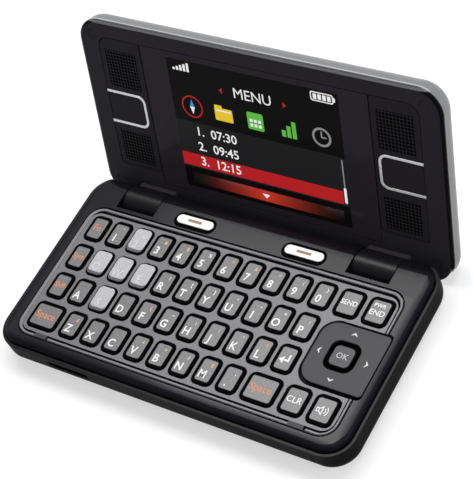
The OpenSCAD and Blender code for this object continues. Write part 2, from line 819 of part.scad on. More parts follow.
// Black frame of the display face with the two hinge knuckles
module lid_inner_housing() {
    color("#1a1a1c") swung() difference() {
        union() {
            intersection() {
                translate([0, 0, lid_z]) linear_extrude(frame_t)
                    panel_plan(face_w, face_front, face_back, lid_r - rim_w, lid_tail_r - rim_w);
                lid_room();
            }
            for (sx = sides) translate([sx * knuckle_x, axis_y, axis_z]) {
                half = notch_w / 2 - knuckle_gap;
                rotate([0, 90, 0]) cylinder(r = knuckle_r, h = 2 * half, center = true);
                box([-half, -neck_front, barrel_r - 2], [half, lid_tail - fit_gap, lid_z - axis_z + eps]);
            }
        }
        translate([0, panel_front + window_l / 2, 0])
            box([-window_w / 2 - seat_gap, -window_l / 2 - seat_gap, 0],
                [window_w / 2 + seat_gap, window_l / 2 + seat_gap, lid_z + window_t + seat_gap]);
        translate([0, module_y, 0])
            box([-module_w / 2 - fit_gap, -module_l / 2 - fit_gap, lid_z],
                [module_w / 2 + fit_gap, module_l / 2 + fit_gap, lid_top]);
        translate([0, 0, lid_z - 1]) linear_extrude(1 + window_t + seat_gap) grille_plan(seat_gap);
        for (sx = sides) translate([sx * grille_x, panel_front + grille_l / 2, 0])
            box([-grille_w / 2 + 1, -grille_l / 2 + 2, lid_z], [grille_w / 2 - 1, grille_l / 2 - 2, lid_top]);
        for (sx = sides) translate([sx * knuckle_x, axis_y, axis_z]) rotate([0, 90, 0])
            cylinder(r = pin_r + pin_clear, h = 2 * notch_w, center = true);
        at_lid_screws() {
            translate([0, 0, lid_z - 1])
                cylinder(r = screw_head_r + screw_gap, h = 1 + lid_screw_drop + screw_head_t + screw_gap);
            translate([0, 0, lid_z - 1]) cylinder(r = screw_r + screw_gap, h = frame_t + 2);
        }
    }
}

// Both grilles in plan, with one large corner each, grown by g
module grille_plan(g) {
    for (sx = sides) scale([sx, 1]) translate([grille_x, 0]) difference() {
        panel_plan(grille_w + 2 * g, panel_front - g, grille_back + g, grille_tail_r, grille_tail_r);
        translate([grille_w / 2 + g - grille_r, panel_front - g + grille_r]) difference() {
            translate([0, -grille_r]) square(grille_r);
            circle(grille_r);
        }
    }
}

// Silver outer shell of the lid
module lid_outer_cover() {
    color("silver") swung() difference() {
        intersection() {
            translate([0, (lid_front + lid_back) / 2, lid_top]) mirror([0, 0, 1])
                bowl(base_w, lid_back - lid_front, lid_r, lid_top - rim_z, cover_edge_r);
            lid_room();
        }
        translate([0, 0, rim_z - 1]) linear_extrude(lid_z + frame_t + lay_gap - rim_z + 1)
            panel_plan(face_w + 2 * fit_gap, face_front - fit_gap, lid_back + 1,
                       lid_r - rim_w, lid_tail_r - rim_w);
        difference() {
            inner_w = base_w - 2 * cover_edge_r;
            box([-inner_w / 2, lid_front + cover_edge_r, lid_z],
                [inner_w / 2, axis_y - cover_edge_r, lid_top - cover_wall]);
            at_lid_screws() translate([0, 0, lid_z + frame_t + lay_gap]) cylinder(r = post_r, h = lid_t);
        }
        at_lid_screws() translate([0, 0, lid_z]) cylinder(r = screw_r + eps, h = lid_t - cover_wall);
        translate([0, outer_y, 0])
            slab(outer_w + 2 * seat_gap, outer_h + 2 * seat_gap, outer_r + seat_gap,
                 lid_top - outer_t, lid_top + 1);
    }
}

module display_window() {
    color("#0a0a0c") swung() translate([0, panel_front + window_l / 2, lid_z])
        linear_extrude(window_t) square([window_w, window_l], center = true);
}

module display_module() {
    color("#222a33") swung() translate([0, module_y, module_z])
        linear_extrude(module_t) square([module_w, module_l], center = true);
}

// Grilles with sound slots above and below the trims
module speaker_grilles() {
    slot_l = grille_w - 2 * slot_margin - 1;
    slot_rows = floor((trim_mid - grille_low - trim_h / 2 - 2 * slot_margin) / slot_pitch);
    color("#242426") swung() difference() {
        translate([0, 0, lid_z]) linear_extrude(window_t) grille_plan(0);
        for (sx = sides, way = sides, i = [0 : slot_rows - 1])
            translate([sx * grille_x, trim_y + way * (trim_h / 2 + slot_margin + i * slot_pitch), 0])
                box([-slot_l / 2, -slot_w / 2, lid_z - 1], [slot_l / 2, slot_w / 2, lid_z + window_t + 1]);
        translate([0, 0, lid_z - 1]) linear_extrude(1 + window_t / 2 + seat_gap) trim_plan(seat_gap);
    }
}

// U-shaped bars, each open to its side of the lid, grown by g
module trim_plan(g) {
    for (sx = sides) scale([sx, 1]) difference() {
        trim_outline(trim_x - g, trim_h + 2 * g, trim_r + g, panel_x + g);
        trim_outline(trim_x + trim_bar + g, trim_h - 2 * trim_bar - 2 * g, trim_r - trim_bar - g, panel_x + 1);
    }
}

module trim_outline(x0, h, r, x1) {
    translate([x0 + r, trim_y - h / 2]) square([x1 - x0 - r, h]);
    translate([x0, trim_y - h / 2 + r]) square([x1 - x0, h - 2 * r]);
    for (sy = sides) translate([x0 + r, trim_y + sy * (h / 2 - r)]) circle(r);
}

module grille_trims() {
    color("white") swung() translate([0, 0, lid_z - trim_proud])
        linear_extrude(trim_proud + window_t / 2) trim_plan(0);
}

module speaker_drivers() {
    color("dimgray") swung() for (sx = sides)
        translate([sx * grille_x, panel_front + grille_l / 2, 0])
            slab(grille_w - 2 * speaker_rim, grille_l / 2, 2, module_z, module_z + speaker_t);
}

module lid_screws() {
    color("#2a2a2c") swung() at_lid_screws() {
        translate([0, 0, lid_z + lid_screw_drop]) cylinder(r = screw_head_r, h = screw_head_t);
        translate([0, 0, lid_z + lid_screw_drop]) cylinder(r = screw_r, h = lid_t - cover_wall - screw_tip);
    }
}

module outer_window() {
    color("#101014") swung() translate([0, outer_y, 0])
        slab(outer_w, outer_h, outer_r, lid_top - outer_t, lid_top);
}

base_top_housing();
base_bottom_housing();
keypad_plate();
keypad_mat();
keypad_board();
main_board();
battery_pack();
battery_cover();
base_screws();
charge_port();
vibration_motor();
microphone();
antenna();
camera_module();
camera_window();
hinge_pins();
hinge_cartridge();
dpad();
dpad_carrier();
ok_button();
soft_key(-1);  // soft_key_left
soft_key(1);  // soft_key_right
lid_inner_housing();
lid_outer_cover();
display_window();
display_module();
speaker_grilles();
grille_trims();
speaker_drivers();
lid_screws();
outer_window();
for (k = single_keys) single_key(k);
for (k = paired_keys) paired_key(k);
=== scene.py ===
import math

import bmesh
import bpy
from mathutils import Matrix, Vector


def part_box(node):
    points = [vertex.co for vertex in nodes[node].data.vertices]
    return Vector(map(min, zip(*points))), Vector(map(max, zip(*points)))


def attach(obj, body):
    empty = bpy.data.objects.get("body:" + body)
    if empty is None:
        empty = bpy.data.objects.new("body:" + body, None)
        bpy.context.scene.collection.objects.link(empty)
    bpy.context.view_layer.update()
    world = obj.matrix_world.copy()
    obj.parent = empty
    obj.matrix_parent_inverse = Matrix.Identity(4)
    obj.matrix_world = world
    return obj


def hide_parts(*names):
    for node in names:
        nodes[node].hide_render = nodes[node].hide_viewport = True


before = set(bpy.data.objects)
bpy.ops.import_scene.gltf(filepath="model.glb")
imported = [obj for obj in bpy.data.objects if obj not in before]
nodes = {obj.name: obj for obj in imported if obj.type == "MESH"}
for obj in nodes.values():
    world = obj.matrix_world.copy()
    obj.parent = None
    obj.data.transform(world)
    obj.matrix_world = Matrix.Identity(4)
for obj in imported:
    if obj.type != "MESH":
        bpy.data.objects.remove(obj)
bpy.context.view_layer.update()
mm = 0.001
scene = bpy.context.scene
scene.view_settings.view_transform = "Standard"
print("frame loaded,", len(nodes), "nodes")

# camera fitted to the key grid, in millimetres of the part's frame
viewpoint = dict(
    place=(206.74, -140.64, 307.25),
    right=(0.81732928, 0.48014824, -0.31848157),
    up=(-0.23324692, 0.78116807, 0.57911339),
    back=(0.52684791, -0.39904149, 0.75046464),
    lens=123.45,
)


def placeCamera():
    data = bpy.data.cameras.new("camera")
    data.lens = viewpoint["lens"]
    data.sensor_width = 36
    data.clip_start, data.clip_end = 0.01, 20
    cam = bpy.data.objects.new("camera", data)
    scene.collection.objects.link(cam)
    turn = Matrix((viewpoint["right"], viewpoint["up"], viewpoint["back"])).transposed()
    cam.matrix_world = Matrix.Translation(Vector(viewpoint["place"]) * mm) @ turn.to_4x4()
    scene.camera = cam


# an output socket that takes part in sums
class Wire:
    def __init__(self, tree, socket=None):
        self.tree = tree
        self.socket = socket

    def feed(self, inlet, value):
        if isinstance(value, Wire):
            self.tree.links.new(value.socket, inlet)
        else:
            inlet.default_value = value

    def make(self, kind, settings=None, inlets=None, outlet=0):
        node = self.tree.nodes.new(kind)
        for key, value in (settings or {}).items():
            setattr(node, key, value)
        for key, value in (inlets or {}).items():
            self.feed(node.inputs[key], value)
        return Wire(self.tree, node.outputs[outlet])

    def maths(self, operation, first, second=0.0):
        return self.make("ShaderNodeMath", {"operation": operation}, {0: first, 1: second})

    def __add__(self, other):
        return self.maths("ADD", self, other)

    def __radd__(self, other):
        return self.maths("ADD", other, self)

    def __sub__(self, other):
        return self.maths("SUBTRACT", self, other)

    def __rsub__(self, other):
        return self.maths("SUBTRACT", other, self)

    def __mul__(self, other):
        return self.maths("MULTIPLY", self, other)

    def __rmul__(self, other):
        return self.maths("MULTIPLY", other, self)

    def __gt__(self, other):
        return self.maths("GREATER_THAN", self, other)

    def __lt__(self, other):
        return self.maths("LESS_THAN", self, other)

    def fract(self):
        return self.maths("FRACT", self)

    def size(self):
        return self.maths("ABSOLUTE", self)

    def clamped(self):
        return self.maths("MINIMUM", self.maths("MAXIMUM", self, 0.0), 1.0)

    def parts(self):
        return [self.make("ShaderNodeSeparateXYZ", None, {0: self}, axis) for axis in "XYZ"]

    def noise(self, where, scale, detail):
        return self.make("ShaderNodeTexNoise", None, {"Vector": where, "Scale": scale, "Detail": detail})

    def tinted(self, colour, amount):
        return self.make("ShaderNodeVectorMath", {"operation": "SCALE"}, {"Vector": colour, "Scale": amount})


def newFinish(name):
    mat = bpy.data.materials.new(name)
    mat.use_nodes = True
    return mat, Wire(mat.node_tree), mat.node_tree.nodes["Principled BSDF"]


# what all moulded finishes share; scales are per metre, the bump's depth is in millimetres
grainLook = dict(slow=55.0, detail=(2.0, 3.0), roughness=(0.12, 0.1), bumpDeep=0.01, bevelSamples=4,
                 polishPower=12.0, rimMost=1.3, backLess=0.3)


# moulded or painted surface: fine grain, slow tone changes, and softened edges that are lighter, partly
# from wear and partly as a painted highlight
# sheen is a satin coat on what faces up
# rim makes the sheen grow from the edge of the deck: half width, front, back and reach, in millimetres
# polish is a round's y, z and reach in millimetres, how much darker it is, and its coat
def moulded(name, colour, rough, grain=0.2, spread=0.12, bump=0.25, edge=0.12, edgeWearAndHighlight=0.25, metal=0.0,
            gloss=0.5, coat=0.0, sheen=0.0, rim=None, satin=0.12, polish=None):
    look = grainLook
    mat, w, shader = newFinish(name)
    where = w.make("ShaderNodeTexCoord", outlet="Object")
    fine = w.noise(where, 1 / (grain * mm), look["detail"][0])
    slow = w.noise(where, look["slow"], look["detail"][1])
    rounded = w.make("ShaderNodeBevel", {"samples": look["bevelSamples"]}, {"Radius": edge * mm})
    flat = w.make("ShaderNodeNewGeometry", None, None, "Normal")
    wornAndLitEdges = 1 - w.make("ShaderNodeVectorMath", {"operation": "DOT_PRODUCT"}, {0: rounded, 1: flat}, "Value")
    # edges lighter by the bevel's tilt: partly wear, partly a painted highlight
    tone = 1 + (fine - 0.5) * (2 * spread) + (slow - 0.5) * spread + wornAndLitEdges * edgeWearAndHighlight
    dull = rough + (fine - 0.5) * look["roughness"][0] + (slow - 0.5) * look["roughness"][1]
    x, y, z = where.parts()
    if polish:
        offY, offZ = y - polish[0] * mm, z - polish[1] * mm
        near = offY * offY + offZ * offZ < (polish[2] * mm) ** 2
        tone = tone * (1 - near * polish[3])
    w.feed(shader.inputs["Base Color"], w.tinted(colour, tone))
    w.feed(shader.inputs["Roughness"], dull)
    w.feed(shader.inputs["Normal"], w.make("ShaderNodeBump", None, {
        "Strength": bump, "Distance": look["bumpDeep"] * mm, "Height": fine, "Normal": rounded}))
    shader.inputs["Metallic"].default_value = metal
    shader.inputs["Specular IOR Level"].default_value = gloss
    up = w.maths("MAXIMUM", rounded.parts()[2], 0.0)
    if polish:
        w.feed(shader.inputs["Coat Weight"], near * w.maths("POWER", up, look["polishPower"]) * polish[4])
    elif rim:
        perReach = 1 / (rim[3] * mm)
        side = w.maths("MAXIMUM", (rim[0] * mm - x.size()) * perReach, 0.0)
        front = w.maths("MAXIMUM", (y - rim[1] * mm) * perReach, 0.0)
        grown = w.maths("MINIMUM", side * side, front * front * front)
        grown = w.maths("MINIMUM", grown, look["rimMost"] - (y > rim[2] * mm) * look["backLess"])
        w.feed(shader.inputs["Coat Weight"], grown * up * up * sheen)
    elif sheen:
        w.feed(shader.inputs["Coat Weight"], up * up * sheen)
    else:
        shader.inputs["Coat Weight"].default_value = coat
    shader.inputs["Coat Roughness"].default_value = satin
    return mat


# lit part of the display, under the gloss of its window
def lit(name, colour):
    mat, w, shader = newFinish(name)
    shader.inputs["Base Color"].default_value = (0.004, 0.004, 0.004, 1)
    where = w.make("ShaderNodeTexCoord", outlet="Object")
    cells = w.noise(where, 900.0, 1.0)
    w.feed(shader.inputs["Emission Color"], w.tinted(colour, 0.96 + cells * 0.08))
    shader.inputs["Emission Strength"].default_value = 1.0
    shader.inputs["Roughness"].default_value = 0.2
    shader.inputs["Specular IOR Level"].default_value = 0.03
    return mat


placeCamera()
deckPaint = moulded("deckPaint", (0.0044, 0.0042, 0.0066), 0.5, grain=0.12, bump=0.12, edge=0.3, edgeWearAndHighlight=0.2,
                    gloss=0.03, sheen=0.27, rim=(50.8, -26.9, 16.0, 3.2), satin=0.14)
trayBlack = moulded("trayBlack", (0.0045, 0.0044, 0.0054), 0.48, edge=0.5, edgeWearAndHighlight=0.1, gloss=0.025, sheen=0.19,
                    satin=0.25)
plateGrey = moulded("plateGrey", (0.1, 0.1, 0.106), 0.4, grain=0.45, spread=0.45, edge=0.1, metal=0.1)
beadGrey = moulded("beadGrey", (0.14, 0.14, 0.148), 0.4, grain=0.22, spread=0.2, edge=0.05, metal=0.1)
clipGrey = moulded("clipGrey", (0.035, 0.035, 0.039), 0.45, grain=0.22, spread=0.2, edge=0.05, gloss=0.2)
skirtBlack = moulded("skirtBlack", (0.001, 0.001, 0.0013), 0.5, grain=0.3, edge=0.05, gloss=0.01)
skirtGrey = moulded("skirtGrey", (0.08, 0.08, 0.083), 0.45, grain=0.3, edge=0.05, gloss=0.2)
capGrey = moulded("capGrey", (0.109, 0.108, 0.112), 0.38, grain=0.5, spread=0.6, edge=0.05, metal=0.1)
capSilver = moulded("capSilver", (0.34, 0.34, 0.352), 0.38, grain=0.45, spread=0.4, edge=0.05, metal=0.1)
printWhite = moulded("printWhite", (0.7, 0.7, 0.7), 0.5, grain=0.4, spread=0.05, edge=0.01)
printOrange = moulded("printOrange", (0.52, 0.19, 0.075), 0.5, grain=0.4, spread=0.05, edge=0.01)
printAmber = moulded("printAmber", (0.6, 0.4, 0.19), 0.5, grain=0.4, spread=0.05, edge=0.01)
dashAmber = moulded("dashAmber", (0.28, 0.17, 0.1), 0.5, grain=0.4, spread=0.05, edge=0.01)
printFaint = moulded("printFaint", (0.46, 0.46, 0.47), 0.5, grain=0.4, spread=0.05, edge=0.01)
padCharcoal = moulded("padCharcoal", (0.006, 0.0058, 0.0085), 0.5, grain=0.14, edge=0.2, edgeWearAndHighlight=0.5, gloss=0.03,
                      sheen=0.29, satin=0.2)
padFace = moulded("padFace", (0.016, 0.0155, 0.019), 0.5, grain=0.2, spread=0.4, gloss=0.1, sheen=0.36,
                  satin=0.24)
softWhite = moulded("softWhite", (0.8, 0.79, 0.76), 0.3, grain=0.5, spread=0.04, edge=0.1, edgeWearAndHighlight=0.0, coat=0.3)
bezelBlack = moulded("bezelBlack", (0.033, 0.03, 0.036), 0.42, grain=0.15, edge=0.2, edgeWearAndHighlight=0.6, gloss=0.03,
                     satin=0.28, polish=(22.48, 4.4, 4.7, 0.8, 0.3))
windowBlack = moulded("windowBlack", (0.034, 0.029, 0.0365), 0.12, grain=2.0, bump=0.02, edge=0.08,
                      gloss=0.04)
coverSilver = moulded("coverSilver", (0.208, 0.211, 0.215), 0.36, grain=0.12, spread=0.1, edge=0.25,
                      metal=0.7)
# bright strip along the top of the lid rim: a painted highlight of its chamfer
rimPaintedHighlight = moulded("rimPaintedHighlight", (0.42, 0.424, 0.428), 0.3, grain=0.3, spread=0.06, edge=0.05, metal=0.6)
trimChrome = moulded("trimChrome", (0.86, 0.86, 0.87), 0.24, grain=0.5, spread=0.05, edge=0.12, metal=0.35)
steel = moulded("steel", (0.55, 0.55, 0.56), 0.3, grain=0.15, edge=0.1, metal=1.0)
rubberBlack = moulded("rubberBlack", (0.012, 0.012, 0.012), 0.75, grain=0.25, edge=0.1, gloss=0.2)
boardGreen = moulded("boardGreen", (0.015, 0.11, 0.04), 0.4, grain=0.5, edge=0.05)
batteryWrap = moulded("batteryWrap", (0.2, 0.21, 0.23), 0.4, grain=0.6, edge=0.2)
brass = moulded("brass", (0.62, 0.43, 0.14), 0.3, grain=0.2, edge=0.05, metal=1.0)
lensBlack = moulded("lensBlack", (0.006, 0.006, 0.008), 0.08, grain=1.5, bump=0.02, edge=0.1, gloss=0.15)

dressing = {
    "base_top_housing": deckPaint, "base_bottom_housing": trayBlack, "battery_cover": trayBlack,
    "keypad_plate": plateGrey, "keypad_mat": rubberBlack, "dpad_carrier": rubberBlack,
    "keypad_board": boardGreen, "main_board": boardGreen, "battery_pack": batteryWrap,
    "base_screws": steel, "charge_port": steel, "vibration_motor": steel, "hinge_pins": steel,
    "hinge_cartridge": steel, "lid_screws": bezelBlack, "microphone": skirtBlack, "camera_module": skirtBlack,
    "speaker_drivers": skirtBlack, "antenna": brass, "lid_inner_housing": bezelBlack,
    "lid_outer_cover": coverSilver, "display_window": windowBlack, "camera_window": lensBlack,
    "outer_window": lensBlack, "display_module": windowBlack, "grille_trims": trimChrome,
}
for nodeName, mat in dressing.items():
    nodes[nodeName].data.materials.clear()
    nodes[nodeName].data.materials.append(mat)
print("finishes made,", len(dressing), "nodes dressed")


# flat face with round corners: one radius, or four from the left front corner round to the left back one
def roundedFace(width, depth, corner, steps=6):
    bm = bmesh.new()
    bmesh.ops.create_grid(bm, x_segments=1, y_segments=1, size=0.5)
    bmesh.ops.scale(bm, vec=(width, depth, 1), verts=bm.verts[:])
    radii = corner if isinstance(corner, tuple) else (corner,) * 4
    for (sx, sy), radius in zip(((-1, -1), (1, -1), (1, 1), (-1, 1)), radii):
        tip = [v for v in bm.verts if (v.co - Vector((sx * width / 2, sy * depth / 2, 0))).length < 1e-5]
        bmesh.ops.bevel(bm, geom=tip, offset=radius, affect="VERTICES", segments=steps, profile=0.5,
                        material=-1)
    return bm


# raises the flat faces of bm from low to high and rounds the upper edges
def raised(bm, low, high, edge=0.0):
    bmesh.ops.translate(bm, vec=(0, 0, low), verts=bm.verts[:])
    grown = bmesh.ops.extrude_face_region(bm, geom=bm.faces[:])["geom"]
    upper = [g for g in grown if isinstance(g, bmesh.types.BMVert)]
    bmesh.ops.translate(bm, vec=(0, 0, high - low), verts=upper)
    bmesh.ops.recalc_face_normals(bm, faces=bm.faces[:])
    if edge:
        rim = [e for e in bm.edges if min(v.co.z for v in e.verts) > high - 1e-5 and e.calc_face_angle(0) > 1]
        bmesh.ops.bevel(bm, geom=rim, offset=edge, affect="EDGES", segments=3, profile=0.5, material=-1)
    return bm


def roundedBlock(width, depth, corner, low, high, edge=0.0):
    return raised(roundedFace(width, depth, corner), low, high, edge)


# moves one mesh into another, with its place; finish None keeps the finishes it has
def add(bm, extra, finish=None, place=None):
    if finish is not None:
        for f in extra.faces:
            f.material_index = finish
    if place is not None:
        bmesh.ops.transform(extra, matrix=place, verts=extra.verts[:])
    carrier = bpy.data.meshes.new("carrier")
    extra.to_mesh(carrier)
    extra.free()
    bm.from_mesh(carrier)
    bpy.data.meshes.remove(carrier)


# ring between two round-cornered outlines, each width, depth, corner, middle and perhaps a height
def ringFace(outer, inner, steps=6):
    bm = bmesh.new()
    for width, depth, corner, *middle in (outer, inner):
        add(bm, roundedFace(width, depth, corner, steps), 0, at(*middle))
    bmesh.ops.delete(bm, geom=bm.faces[:], context="FACES_ONLY")
    bmesh.ops.bridge_loops(bm, edges=bm.edges[:])
    for f in bm.faces:
        f.normal_update()
        if f.normal.z < 0:
            f.normal_flip()
    return bm


# takes out what lies between two corners in plan and closes the ends
def breakIn(bm, low, high):
    for spot in (low, high):
        for way in ((1, 0, 0), (0, 1, 0)):
            whole = bm.verts[:] + bm.edges[:] + bm.faces[:]
            bmesh.ops.bisect_plane(bm, geom=whole, plane_co=(*spot, 0), plane_no=way)
    gone = []
    for f in bm.faces:
        mid = f.calc_center_median()
        if low[0] < mid.x < high[0] and low[1] < mid.y < high[1]:
            gone.append(f)
    bmesh.ops.delete(bm, geom=gone, context="FACES")
    bmesh.ops.holes_fill(bm, edges=[e for e in bm.edges if e.is_boundary], sides=0)
    return bm


def at(x, y, z=0.0):
    return Matrix.Translation((x, y, z))


def boxOf(node):
    low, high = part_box(node)
    return low / mm, high / mm


# outline lettering as a flat mesh, centred, and narrowed to the room it has
def lettering(words, size, weight=0.02, room=None):
    curve = bpy.data.curves.new("lettering", "FONT")
    curve.body = words
    curve.size = size
    curve.offset = weight * size
    curve.resolution_u = 3
    curve.align_x, curve.align_y = "CENTER", "CENTER"
    holder = bpy.data.objects.new("lettering", curve)
    scene.collection.objects.link(holder)
    made = bpy.data.meshes.new_from_object(holder)
    bm = bmesh.new()
    bm.from_mesh(made)
    bpy.data.objects.remove(holder)
    bpy.data.meshes.remove(made)
    bpy.data.curves.remove(curve)
    wide = 2 * max(v.co.x for v in bm.verts)
    if room and wide > room:
        bmesh.ops.scale(bm, vec=(room / wide, 1, 1), verts=bm.verts[:])
    for f in bm.faces:
        if f.normal.z < 0:
            f.normal_flip()
    return bm


# flat polygon from a few corners, facing up
def polygon(*corners):
    bm = bmesh.new()
    face = bm.faces.new([bm.verts.new((x, y, 0)) for x, y in corners])
    face.normal_update()
    if face.normal.z < 0:
        face.normal_flip()
    return bm


def bar(width, depth):
    x, y = width / 2, depth / 2
    return polygon((-x, -y), (x, -y), (x, y), (-x, y))


def disc(radius):
    bm = bmesh.new()
    bmesh.ops.create_circle(bm, cap_ends=True, segments=24, radius=radius)
    return bm


# flat arc round the middle, from one angle over a sweep
def arc(radius, width, start, sweep, steps):
    bm = bmesh.new()
    ends = [bm.verts.new((r * math.cos(start), r * math.sin(start), 0)) for r in (radius, radius + width)]
    edge = bm.edges.new(ends)
    full = abs(sweep - 2 * math.pi) < 1e-6
    bmesh.ops.spin(bm, geom=[*ends, edge], axis=(0, 0, 1), cent=(0, 0, 0), angle=sweep, steps=steps,
                   use_merge=full)
    for f in bm.faces:
        f.normal_update()
        if f.normal.z < 0:
            f.normal_flip()
    return bm


# pieces are drawn in millimetres; this scales, dresses and joins one to its body
def piece(name, bm, body, finishes, stands=(), place=None):
    bmesh.ops.scale(bm, vec=(mm, mm, mm), verts=bm.verts[:])
    if place is not None:
        bmesh.ops.transform(bm, matrix=place, verts=bm.verts[:])
    mesh = bpy.data.meshes.new(name)
    bm.to_mesh(mesh)
    bm.free()
    for mat in finishes:
        mesh.materials.append(mat)
    mesh.shade_smooth()
    mesh.set_sharp_from_angle(angle=math.radians(35))
    obj = bpy.data.objects.new(name, mesh)
    scene.collection.objects.link(obj)
    even = obj.modifiers.new("even", "WEIGHTED_NORMAL")
    even.keep_sharp = True
    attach(obj, body)
    if stands:
        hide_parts(*stands)
    return obj


# keys: black skirts with speckled faces and printed legends
keyLook = dict(
    lip=0.35, width=5.65, pitch=6.71, corner=1.6, edge=0.35, skirtDown=0.06, ink=0.012,
    faceX=1.8, faceY=1.85, faceShift=(0.1, -0.06), faceCorner=0.6, faceEdgePaintedLight=0.07, faceRise=0.1,
    letter=2.95, narrow=0.95, weight=0.02, letterAt=(-0.44, -1.25), mark=1.3, markAt=(0.9, 1.45),
    words={"Fn": 2.5, "Sym": 2.3, "Shift": 2.2, "Space": 2.6, "SEND": 1.85, "END": 2.0, "CLR": 2.2},
    wordWeight=0.012, margin=0.4, endDown=0.5, small=1.4, smallAt=(-0.1, 1.5),
    silverX=0.8, silverY=0.8, silverCorner=1.25, silverFoot=0.1, silverDown=0.04, silverFace=1.1,
    silverIn=0.1, silverStrip=0.8, silverShift=-0.05)
keyNames = {
    "key_fn": ["Fn"], "key_sym": ["Sym"], "key_shift": ["Shift"], "key_space_left": ["Space"],
    "key_space_right": ["Space"], "key_send": ["SEND"], "key_end": ["END"], "key_clear": ["CLR"],
    "key_speaker": ["speaker"], "key_enter": ["enter"], "key_l": ["L?"],
    "keys_1_2": ["1'", "2@"], "keys_3_4": ["3#", "4$"], "keys_5_6": ["5%", "6^"], "keys_7_8": ["7&", "8*"],
    "keys_9_0": ["9(", "0)"], "keys_q_w": ["Q", "W"], "keys_e_r": ["E", "R!"], "keys_t_y": ["T[", "Y]"],
    "keys_u_i": ["U+", "I-"], "keys_o_p": ["O=", "P:"], "keys_a_s": ["A", "S"], "keys_d_f": ["D", "F("],
    "keys_g_h": ["G~", "H;"], "keys_j_k": ["J:", "K\""], "keys_z_x": ["Z£", "X"], "keys_c_v": ["C", "V<"],
    "keys_b_n": ["B>", "N/"], "keys_m_stop": ["M€", ".,"],
}
silverKeys = ("2@", "Q", "W", "E", "S")
orangeMarks = "#$^&*<>(?\"+£€"
orangeWords = ("Fn", "Sym", "Shift", "Space")
keyFinishes = [skirtBlack, capGrey, capSilver, printWhite, printOrange, printFaint, printAmber, skirtGrey]
skirt, greyFace, silverFace, white, orange, faint, amber, silverSkirt = range(len(keyFinishes))


def enterArrow(bm, high):
    add(bm, polygon((-1.5, -0.5), (-0.2, 0.45), (-0.2, -1.45)), white, at(0, 0, high))
    add(bm, bar(1.5, 0.5), white, at(0.45, -0.5, high))
    add(bm, bar(0.45, 1.35), white, at(0.975, 0.42, high))


def speakerSign(bm, high):
    y, over = -0.2, high + 0.005
    add(bm, bar(0.7, 1.1), white, at(-1.25, y, high))
    add(bm, polygon((-0.85, -0.5), (0.05, -1.25), (0.05, 1.25), (-0.85, 0.5)), white, at(0, y, high))
    add(bm, bar(0.35, 0.5), greyFace, at(-1.2, y, over))
    add(bm, polygon((-0.75, -0.25), (-0.2, -0.7), (-0.2, 0.7), (-0.75, 0.25)), greyFace, at(0, y, over))
    for radius in (0.75, 1.35):
        add(bm, arc(radius, 0.22, -0.8, 1.6, 6), white, at(-0.1, y, high))


# black body with a set-in face, then the legend of that face
def keyAt(bm, legend, x, y, width, depth, low, top):
    look = keyLook
    silver = legend in silverKeys
    ink = faint if silver else white
    face = width - look["faceX"]
    key = bmesh.new()
    body = roundedBlock(width, depth, look["corner"], low, top - look["skirtDown"], look["edge"])
    add(key, body, skirt)
    if silver:
        wide, long, strip = width - look["silverX"], depth - look["silverY"], look["silverStrip"]
        add(key, roundedBlock(wide, long, look["silverCorner"], top - look["silverFoot"],
                              top - look["silverDown"]), silverSkirt)
        add(key, roundedBlock(wide - look["silverIn"], long - strip, look["silverFace"],
                              top - look["faceRise"], top - look["ink"], look["faceEdgePaintedLight"]),
            silverFace, at(0, strip / 2 + look["silverShift"]))
    else:
        add(key, roundedBlock(face, depth - look["faceY"], look["faceCorner"], top - look["faceRise"],
                              top - look["ink"], look["faceEdgePaintedLight"]), greyFace, at(*look["faceShift"]))
    if legend == "enter":
        enterArrow(key, top)
    elif legend == "speaker":
        speakerSign(key, top)
    elif legend in look["words"]:
        down = look["endDown"] if legend == "END" else 0
        word = lettering(legend, look["words"][legend], look["wordWeight"], face - look["margin"])
        add(key, word, orange if legend in orangeWords else white, at(0, -down, top))
        if legend == "END":
            add(key, lettering("PWR", look["small"]), white, at(*look["smallAt"], top))
    else:
        narrow = Matrix.Diagonal((look["narrow"], 1, 1, 1))
        letter = lettering(legend[0], look["letter"], look["weight"])
        add(key, letter, ink, at(*look["letterAt"], top) @ narrow)
        if len(legend) > 1:
            mark = lettering(legend[1], look["mark"])
            add(key, mark, amber if legend[1] in orangeMarks else ink, at(*look["markAt"], top))
    add(bm, key, None, at(x, y))


for node, legends in keyNames.items():
    low, high = boxOf(node)
    mid = (low + high) / 2
    depth = high.y - low.y - 2 * keyLook["lip"]
    bm = bmesh.new()
    if len(legends) == 1:
        keyAt(bm, legends[0], mid.x, mid.y, high.x - low.x - 2 * keyLook["lip"], depth, low.z, high.z)
    else:
        for legend, way in zip(legends, (-0.5, 0.5)):
            keyAt(bm, legend, mid.x + way * keyLook["pitch"], mid.y, keyLook["width"], depth, low.z, high.z)
    piece(node + "_caps", bm, node, keyFinishes, [node])
print("keys made,", len(keyNames), "carriers")

# navigation pad with four chevrons round its centre button
padLook = dict(
    corner=4.2, outer=1.0, edge=0.25, hole=7.6, holeCorner=2.2, room=(0.2, 0.5, 0.0, 0.15), shift=(0.2, 0.25),
    button=6.2, buttonCorner=1.5, buttonEdge=0.3, buttonDown=0.06, face=5.2, faceCorner=1.2, faceEdgePaintedLight=0.07,
    faceRise=0.1, foot=(0.15, 0.45), arrowAt=6.2, arrow=0.75, arrowShift=(0.4, 0.15), word=2.1, ink=0.012)


